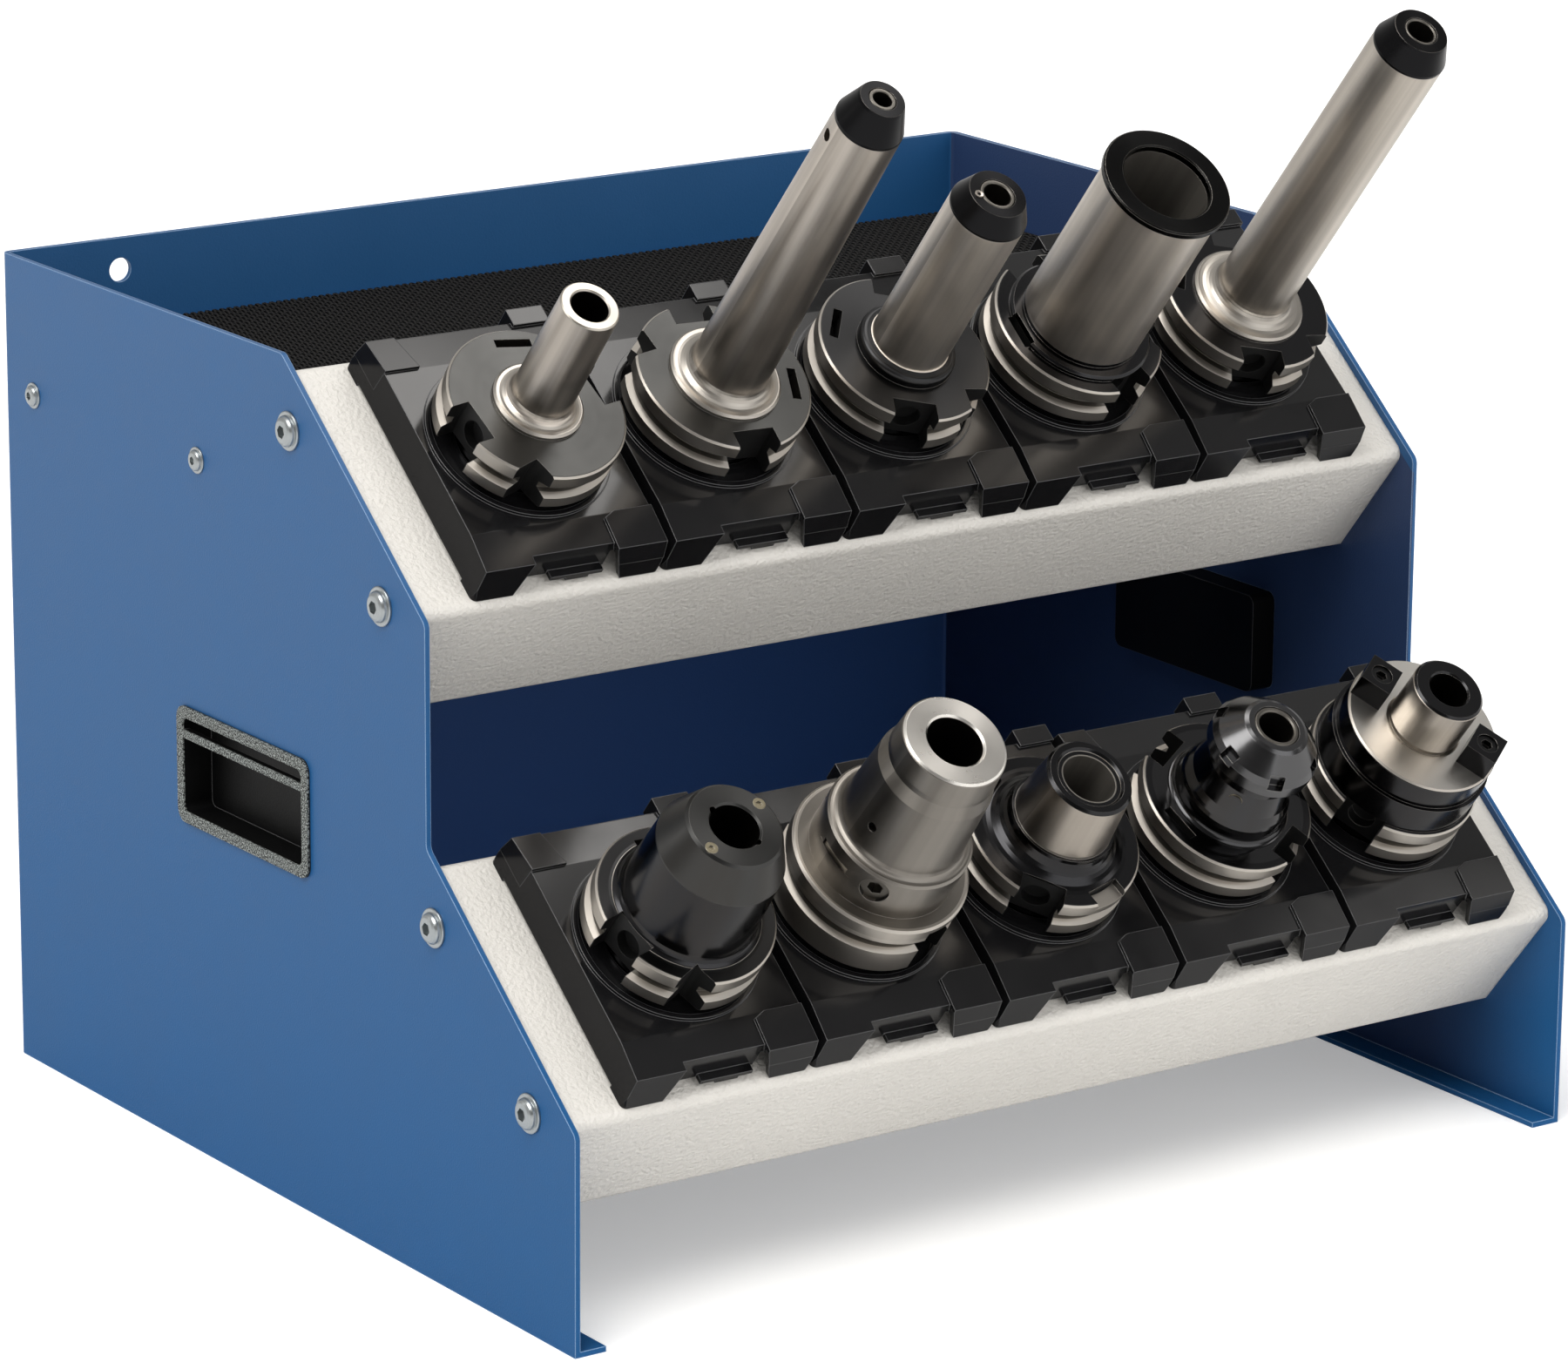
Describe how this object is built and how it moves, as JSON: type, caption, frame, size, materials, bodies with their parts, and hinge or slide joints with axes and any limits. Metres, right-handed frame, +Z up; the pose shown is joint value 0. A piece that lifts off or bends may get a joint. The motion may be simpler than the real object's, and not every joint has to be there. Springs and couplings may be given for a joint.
{
  "type": "cnc tool holder rack",
  "caption": "Bench rack of folded sheet with two sloping tiers of moulded sockets holding steep-taper tool holders, and a matted top shelf.",
  "frame": {"origin": "centre of the bottom of the bounding box, on the bench under the rack", "axes": "+X along the tiers, +Y towards the back panel, +Z up"},
  "size_m": [0.4266, 0.4074, 0.4037],
  "materials": {
    "blue_coat": "fine textured powder coat, semi-matt",
    "grey_coat": "warm light grey textured powder coat",
    "mat_rubber": "fine-ribbed rubber",
    "insert_plastic": "moulded, semi-gloss",
    "grip_plastic": "fine grain",
    "zinc_steel": "zinc plated",
    "ground_steel": "ground, with blackened flange faces",
    "satin_steel": "fine turned satin",
    "black_steel": "black oxide",
    "stud_steel": "hardened, satin"
  },
  "bodies": {
    "rack": {"casing": "blue_coat", "upper_tray": "grey_coat", "lower_tray": "grey_coat", "top_shelf": "blue_coat", "shelf_mat": "mat_rubber", "upper_insert_1": "insert_plastic", "upper_insert_2": "insert_plastic", "upper_insert_3": "insert_plastic", "upper_insert_4": "insert_plastic", "upper_insert_5": "insert_plastic", "lower_insert_1": "insert_plastic", "lower_insert_2": "insert_plastic", "lower_insert_3": "insert_plastic", "lower_insert_4": "insert_plastic", "lower_insert_5": "insert_plastic", "left_grip": "grip_plastic", "right_grip": "grip_plastic", "tray_screws": "zinc_steel", "tray_nuts": "zinc_steel", "shelf_screws": "zinc_steel", "shelf_nuts": "zinc_steel"},
    "upper_tool_1": {"upper_holder_1": "ground_steel", "upper_stud_1": "stud_steel"},
    "upper_tool_2": {"upper_holder_2": "ground_steel", "upper_stud_2": "stud_steel", "nose_nut_u2": "black_steel", "nose_collet_u2": "satin_steel"},
    "upper_tool_3": {"upper_holder_3": "ground_steel", "upper_stud_3": "stud_steel", "nose_nut_u3": "black_steel", "nose_collet_u3": "satin_steel"},
    "upper_tool_4": {"upper_holder_4": "ground_steel", "upper_stud_4": "stud_steel", "end_ring_u4": "black_steel"},
    "upper_tool_5": {"upper_holder_5": "ground_steel", "upper_stud_5": "stud_steel", "nose_nut_u5": "black_steel", "nose_collet_u5": "satin_steel"},
    "lower_tool_1": {"lower_holder_1": "black_steel", "lower_stud_1": "stud_steel", "face_screws_l1": "zinc_steel"},
    "lower_tool_2": {"lower_holder_2": "satin_steel", "lower_stud_2": "stud_steel", "clamp_screw_l2": "satin_steel"},
    "lower_tool_3": {"lower_holder_3": "ground_steel", "lower_stud_3": "stud_steel", "bore_sleeve_l3": "satin_steel"},
    "lower_tool_4": {"lower_holder_4": "black_steel", "lower_stud_4": "stud_steel", "collet_nut_l4": "black_steel", "collet_l4": "satin_steel"},
    "lower_tool_5": {"lower_holder_5": "ground_steel", "lower_stud_5": "stud_steel", "drive_keys_l5": "black_steel", "key_screws_l5": "black_steel"}
  },
  "joints": [
    {"name": "upper_tool_1_lift", "type": "slide", "parent": "rack", "child": "upper_tool_1", "axis": [0, -0.6361, 0.7716], "range_m": [0, 0.11]},
    {"name": "upper_tool_2_lift", "type": "slide", "parent": "rack", "child": "upper_tool_2", "axis": [0, -0.6361, 0.7716], "range_m": [0, 0.11]},
    {"name": "upper_tool_3_lift", "type": "slide", "parent": "rack", "child": "upper_tool_3", "axis": [0, -0.6361, 0.7716], "range_m": [0, 0.11]},
    {"name": "upper_tool_4_lift", "type": "slide", "parent": "rack", "child": "upper_tool_4", "axis": [0, -0.6361, 0.7716], "range_m": [0, 0.11]},
    {"name": "upper_tool_5_lift", "type": "slide", "parent": "rack", "child": "upper_tool_5", "axis": [0, -0.6361, 0.7716], "range_m": [0, 0.11]},
    {"name": "lower_tool_1_lift", "type": "slide", "parent": "rack", "child": "lower_tool_1", "axis": [0, -0.6361, 0.7716], "range_m": [0, 0.11]},
    {"name": "lower_tool_2_lift", "type": "slide", "parent": "rack", "child": "lower_tool_2", "axis": [0, -0.6361, 0.7716], "range_m": [0, 0.11]},
    {"name": "lower_tool_3_lift", "type": "slide", "parent": "rack", "child": "lower_tool_3", "axis": [0, -0.6361, 0.7716], "range_m": [0, 0.11]},
    {"name": "lower_tool_4_lift", "type": "slide", "parent": "rack", "child": "lower_tool_4", "axis": [0, -0.6361, 0.7716], "range_m": [0, 0.11]},
    {"name": "lower_tool_5_lift", "type": "slide", "parent": "rack", "child": "lower_tool_5", "axis": [0, -0.6361, 0.7716], "range_m": [0, 0.11]}
  ]
}
